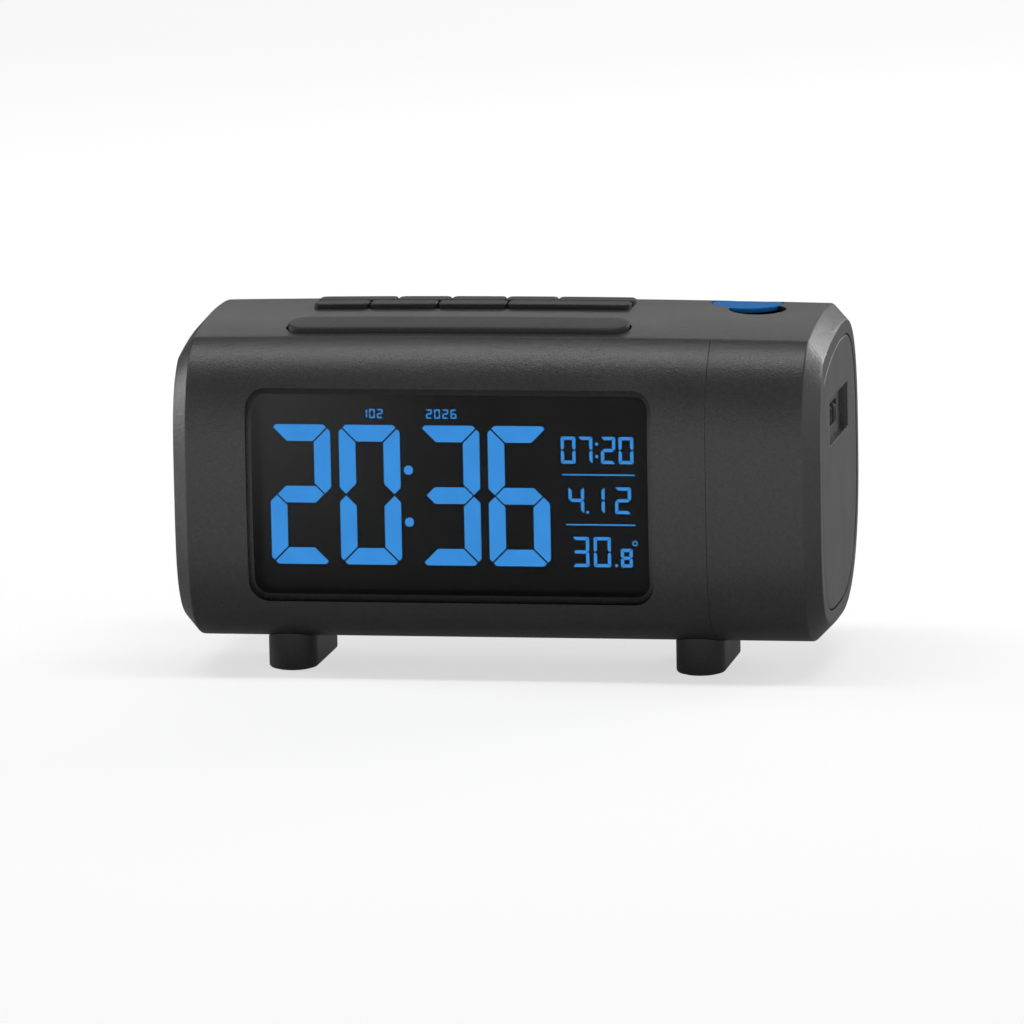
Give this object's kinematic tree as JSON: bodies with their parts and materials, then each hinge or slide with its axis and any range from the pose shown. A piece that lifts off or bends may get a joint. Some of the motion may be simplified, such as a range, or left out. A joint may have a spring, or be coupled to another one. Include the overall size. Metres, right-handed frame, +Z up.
{
  "type": "alarm clock",
  "caption": "projection alarm clock with a wide LCD behind a smoked window, snooze bar and key rows on the domed top, a blue projection lens and a focus wheel in its right end",
  "frame": {"origin": "on the surface the clock stands on, under the middle of its body", "axes": "+X to the right as the display is read, the display faces -Y, +Z up"},
  "size_m": [0.17, 0.082, 0.0943],
  "materials": {
    "housing_black": "fine spark-eroded grain, satin",
    "key_black": "fine grain, satin, a little glossier than the housing",
    "smoked_window": "polished dark smoked acrylic",
    "display_glass": "polished LCD glass",
    "clear_acrylic": "clear moulded acrylic",
    "white_plastic": "plain moulded",
    "board_green": "solder mask on glass-fibre board",
    "chip_black": "moulded package",
    "lens_blue": "polished blue tinted plastic",
    "lens_glass": "polished lens",
    "black_rubber": "matt",
    "grey_silicone": "matt silicone",
    "bright_steel": "plated",
    "dark_magnet": "satin",
    "cone_paper": "pressed paper"
  },
  "bodies": {
    "housing": {"cell_sleeve": "white_plastic", "clock_chip": "chip_black", "condenser_lens": "lens_glass", "connector_strip_bottom": "grey_silicone", "connector_strip_top": "grey_silicone", "dc_socket": "chip_black", "display_window": "smoked_window", "front_housing": "housing_black", "housing_screw_1": "bright_steel", "housing_screw_2": "bright_steel", "housing_screw_3": "bright_steel", "housing_screw_4": "bright_steel", "key_board": "board_green", "key_mat": "grey_silicone", "lcd_frame": "white_plastic", "lcd_glass": "display_glass", "led_strip": "white_plastic", "left_end_panel": "housing_black", "left_foot": "housing_black", "left_foot_pad": "black_rubber", "light_guide": "clear_acrylic", "main_board": "board_green", "power_board": "board_green", "projection_lcd": "display_glass", "projector_board": "board_green", "projector_chassis": "white_plastic", "projector_housing": "housing_black", "projector_led": "clear_acrylic", "rear_cover": "housing_black", "right_end_panel": "housing_black", "right_foot": "housing_black", "right_foot_pad": "black_rubber", "speaker_basket": "dark_magnet", "speaker_cone": "cone_paper", "speaker_magnet": "dark_magnet", "switch_body": "bright_steel", "top_panel": "housing_black", "usb_socket": "bright_steel", "wheel_pin": "bright_steel"},
    "snooze_bar": {"snooze_bar": "key_black"},
    "key_down": {"key_down": "key_black"},
    "key_up": {"key_up": "key_black"},
    "key_alarm": {"key_alarm": "key_black"},
    "key_light": {"key_light": "key_black"},
    "key_mode": {"key_mode": "key_black"},
    "key_zone": {"key_zone": "key_black"},
    "key_summer_time": {"key_summer_time": "key_black"},
    "key_projection": {"key_projection": "key_black"},
    "key_temperature": {"key_temperature": "key_black"},
    "focus_wheel": {"focus_wheel": "key_black"},
    "focus_ring": {"focus_ring": "white_plastic"},
    "lens": {"lens_barrel": "lens_blue", "lens_cap": "lens_blue", "projection_lens": "lens_glass"},
    "switch_knob": {"switch_knob": "key_black"},
    "cell_tray": {"cell_tray": "housing_black", "coin_cell": "bright_steel"}
  },
  "joints": [
    {"name": "snooze_press", "type": "slide", "parent": "housing", "child": "snooze_bar", "axis": [0, 0, -1], "range_m": [0, 0.001], "stiffness_N_per_m": 450, "springref_m": -0.0006},
    {"name": "key_down_press", "type": "slide", "parent": "housing", "child": "key_down", "axis": [0, 0, -1], "range_m": [0, 0.0008], "stiffness_N_per_m": 350, "springref_m": -0.0006},
    {"name": "key_up_press", "type": "slide", "parent": "housing", "child": "key_up", "axis": [0, 0, -1], "range_m": [0, 0.0008], "stiffness_N_per_m": 350, "springref_m": -0.0006},
    {"name": "key_alarm_press", "type": "slide", "parent": "housing", "child": "key_alarm", "axis": [0, 0, -1], "range_m": [0, 0.0008], "stiffness_N_per_m": 350, "springref_m": -0.0006},
    {"name": "key_light_press", "type": "slide", "parent": "housing", "child": "key_light", "axis": [0, 0, -1], "range_m": [0, 0.0008], "stiffness_N_per_m": 350, "springref_m": -0.0006},
    {"name": "key_mode_press", "type": "slide", "parent": "housing", "child": "key_mode", "axis": [0, 0, -1], "range_m": [0, 0.0008], "stiffness_N_per_m": 350, "springref_m": -0.0006},
    {"name": "key_zone_press", "type": "slide", "parent": "housing", "child": "key_zone", "axis": [0, 0, -1], "range_m": [0, 0.0008], "stiffness_N_per_m": 350, "springref_m": -0.0006},
    {"name": "key_summer_time_press", "type": "slide", "parent": "housing", "child": "key_summer_time", "axis": [0, 0, -1], "range_m": [0, 0.0008], "stiffness_N_per_m": 350, "springref_m": -0.0006},
    {"name": "key_projection_press", "type": "slide", "parent": "housing", "child": "key_projection", "axis": [0, 0, -1], "range_m": [0, 0.0008], "stiffness_N_per_m": 350, "springref_m": -0.0006},
    {"name": "key_temperature_press", "type": "slide", "parent": "housing", "child": "key_temperature", "axis": [0, 0, -1], "range_m": [0, 0.0008], "stiffness_N_per_m": 350, "springref_m": -0.0006},
    {"name": "focus_turn", "type": "hinge", "parent": "housing", "child": "focus_wheel", "pos_m": [0.0741, 0, 0.06545], "axis": [0, 0, 1], "range_deg": [-90, 90]},
    {"name": "ring_turn", "type": "hinge", "parent": "housing", "child": "focus_ring", "pos_m": [0.0594, 0.013, 0.07435], "axis": [0, 0, 1], "range_deg": [-46, 46]},
    {"name": "lens_slide", "type": "slide", "parent": "housing", "child": "lens", "axis": [0, 0, 1], "range_m": [-0.0015, 0.0015]},
    {"name": "switch_slide", "type": "slide", "parent": "housing", "child": "switch_knob", "axis": [1, 0, 0], "range_m": [0, 0.003]},
    {"name": "tray_slide", "type": "slide", "parent": "housing", "child": "cell_tray", "axis": [0, 1, 0], "range_m": [0, 0.024]}
  ],
  "couplings": [
    {"joint": "focus_turn", "follows": "lens_slide", "rad_per_m": 1047.2},
    {"joint": "ring_turn", "follows": "lens_slide", "rad_per_m": -530.79}
  ]
}
